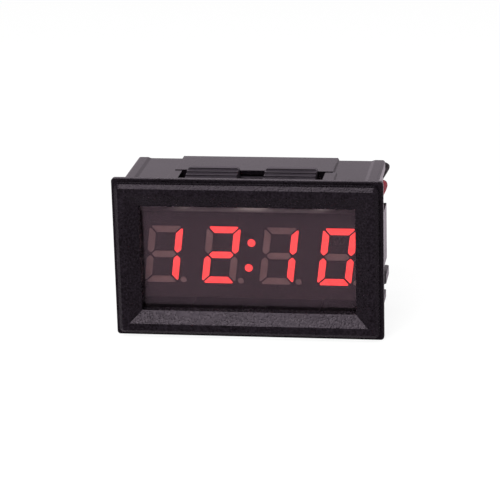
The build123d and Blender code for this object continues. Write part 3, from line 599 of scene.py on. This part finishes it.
def lead_cover(name, tone_of):
    """Vinyl whose tone comes from tone_of(tree, noise)."""
    material, tree, shader = start_finish(name, IOR=1.5, Specular_IOR_Level=0.1)
    shift = add_noise(tree, scale=700, detail=3)
    feed(shader, "Base Color", tone_of(tree, shift))
    feed(shader, "Roughness", spread(tree, shift, 0.50, 0.64))
    add_relief(tree, shader, add_noise(tree, scale=1500, detail=2), depth=0.01 * MM)
    return material


def red_tone(tree, shift):
    """The red cover's colour."""
    return two_tones(tree, shift, *RED_TONES)


def black_tone(tree, shift):
    """The black cover's colour."""
    return two_tones(tree, shift, *BLACK_TONES)


def tail_tone(tree, shift):
    """Red below the middle between the two tails, and black above it."""
    above = maths(tree, "GREATER_THAN", axis_of(tree, "Object", "Z"), BETWEEN_TAILS)
    return pick(tree, above, red_tone(tree, shift), black_tone(tree, shift))


lead_red = lead_cover("lead_red", red_tone)
lead_black = lead_cover("lead_black", black_tone)
tail_covers = lead_cover("tail_covers", tail_tone)
print("lead covers made")

# %% [markdown]
# Now every CAD node and every new piece gets its finish. They could be set one by one, but a table
# shows at a glance which pieces share a material. The CAD meshes themselves stay as they are.

# %% Put the finishes on
finishes = {
    "case": case_plastic, "rear_cover": case_plastic,
    "top_clip": clip_plastic, "bottom_clip": clip_plastic,
    "lens": smoked_acrylic, "display_housing": display_block,
    "lit_segments": segment_lit, "colon_dots": segment_lit,
    "unlit_segments": segment_unlit, "decimal_points": segment_unlit,
    "display_substrate": board_laminate, "main_board": board_laminate,
    "display_pins": tinned_metal, "chip_pins": tinned_metal, "solder_joints": tinned_metal,
    "switch_plates": tinned_metal, "switch_domes": tinned_metal, "lead_tips": tinned_metal,
    "clock_chip": chip_epoxy, "regulator": chip_epoxy, "protection_diode": chip_epoxy,
    "switch_bodies": chip_epoxy, "capacitor_foot": chip_epoxy,
    "crystal": can_metal, "filter_capacitor": marked_can,
    "chip_resistors": resistor_finish, "chip_capacitors": ceramic_finish,
    "hour_button": button_plastic, "minute_button": button_plastic,
    "lead_grommet": grommet_rubber, "coil_tie": tie_nylon, "inner_leads": tail_covers,
    "red_lead": lead_red, "red_coil": lead_red,
    "black_lead": lead_black, "black_coil": lead_black,
}


def dress(piece, material):
    """Gives a piece one finish."""
    if not piece.material_slots:
        piece.data.materials.append(material)
    for holder in piece.material_slots:
        holder.material = material


for name, node in nodes.items():
    dress(node, finishes[name])
dress(red_cord, lead_red)
dress(black_cord, lead_black)
dress(strands, tinned_metal)
print("finishes on", len(nodes), "nodes; without one:", sorted(set(nodes) - set(finishes)))

# %% [markdown]
# The studio: a pale floor that runs out of the picture and a pale room, which the camera sees as
# white. More light would also whiten the floor, but would bleach the clock, so the white comes from
# what kind of ray arrives. The floor keeps a share of its own shading, so that the clock's shadow
# stays. That share is larger in mirrors and through glass, so that the plastic's lower edges and the
# slot under the lens show the shade that they stand in. In mirrors its paint is dimmer, because the
# lamps light it above white, and floor and room have a faint lilac cast, as the studio had, which only
# shows in the shine of the black plastic.

# %% Floor and room
WHITE, LILAC = (1.0, 1.0, 1.0), (1.0, 0.88, 0.98)
PALE_PAINT, PAINT_IN_MIRRORS = (0.9, 0.9, 0.9), (0.50, 0.44, 0.49)
FLOOR_WHITE, FLOOR_IN_MIRRORS, FLOOR_IN_GLASS = 0.9, 0.25, 0.04
ROOM_LIGHT, ROOM_WHITE = 0.4, 1.0


def seen_rays(tree, mirror_share, glass_share):
    """1 for rays from the camera, a share for rays from a mirror or through glass, 0 for the rest.

    A ray through etched glass counts as glossy too, so it is taken off the mirrored ones.
    """
    light_path = tree.nodes.new("ShaderNodeLightPath")
    through_glass = light_path.outputs["Is Transmission Ray"]
    mirrored = maths(tree, "SUBTRACT", light_path.outputs["Is Glossy Ray"], through_glass)
    share = maths(
        tree, "MAXIMUM", maths(tree, "MULTIPLY", mirrored, mirror_share),
        maths(tree, "MULTIPLY", through_glass, glass_share),
    )
    return maths(tree, "MAXIMUM", light_path.outputs["Is Camera Ray"], share)


def tone_in_mirrors(tree, plain, mirrored):
    """The plain colour, or the other one for rays that a shiny surface mirrors."""
    light_path = tree.nodes.new("ShaderNodeLightPath")
    return pick(tree, light_path.outputs["Is Glossy Ray"], plain, mirrored)


bm = bmesh.new()
bmesh.ops.create_grid(bm, x_segments=1, y_segments=1, size=4.0)
floor = finish_mesh("floor", bm)
floor_finish, tree, paint = start_finish("floor_finish", Roughness=1.0, Specular_IOR_Level=0.0)
feed(paint, "Base Color", tone_in_mirrors(tree, PALE_PAINT, PAINT_IN_MIRRORS))
white = tree.nodes.new("ShaderNodeEmission")
feed(white, "Color", tone_in_mirrors(tree, WHITE, LILAC))
blend = tree.nodes.new("ShaderNodeMixShader")
floor_rays = seen_rays(tree, FLOOR_IN_MIRRORS, FLOOR_IN_GLASS)
feed(blend, "Fac", maths(tree, "MULTIPLY", floor_rays, FLOOR_WHITE))
tree.links.new(paint.outputs["BSDF"], blend.inputs[1])
tree.links.new(white.outputs["Emission"], blend.inputs[2])
tree.links.new(blend.outputs["Shader"], tree.nodes["Material Output"].inputs["Surface"])
dress(floor, floor_finish)

room = bpy.data.worlds.new("room")
room.use_nodes = True
bpy.context.scene.world = room
tree = room.node_tree
backdrop = tree.nodes["Background"]
feed(backdrop, "Strength", spread(tree, seen_rays(tree, 1.0, 1.0), ROOM_LIGHT, ROOM_WHITE))
feed(backdrop, "Color", tone_in_mirrors(tree, WHITE, LILAC))
bpy.context.scene.view_settings.view_transform = "Standard"
print("floor and room made")

# %% [markdown]
# Two soft lamps. The slope below the window mirrors the one in front, at half height. The one
# overhead is mirrored in the bevel along the top of the bezel, and shines down between the clip's
# pads on the display's pale top, which shows as a light streak at the window's upper edge. Larger
# lamps would be softer still, but these are kept narrow, so that the grain shows where they are
# mirrored.

# %% Lamps
def hang_lamp(name, towards, distance, width, height, brightness):
    """A soft lamp that faces the clock. Its brightness is that of its own surface."""
    lamp = bpy.data.objects.new(name, bpy.data.lights.new(name, "AREA"))
    lamp.data.shape = "RECTANGLE"
    lamp.data.size, lamp.data.size_y = width, height
    lamp.data.energy = 4 * width * height * brightness
    lamp.location = clock_middle + distance * Vector(towards).normalized()
    lamp.rotation_euler = (clock_middle - lamp.location).to_track_quat("-Z", "Y").to_euler()
    bpy.context.scene.collection.objects.link(lamp)
    place = [round(value, 3) for value in lamp.location]
    print(name, "at", place, "W", round(lamp.data.energy, 2))


hang_lamp(
    "front_lamp", towards=(-0.16, -0.74, 0.66), distance=0.6, width=0.22, height=0.26, brightness=12.8,
)
hang_lamp(
    "top_lamp", towards=(-0.12, -0.12, 0.99), distance=0.5, width=0.20, height=0.40, brightness=7.5,
)
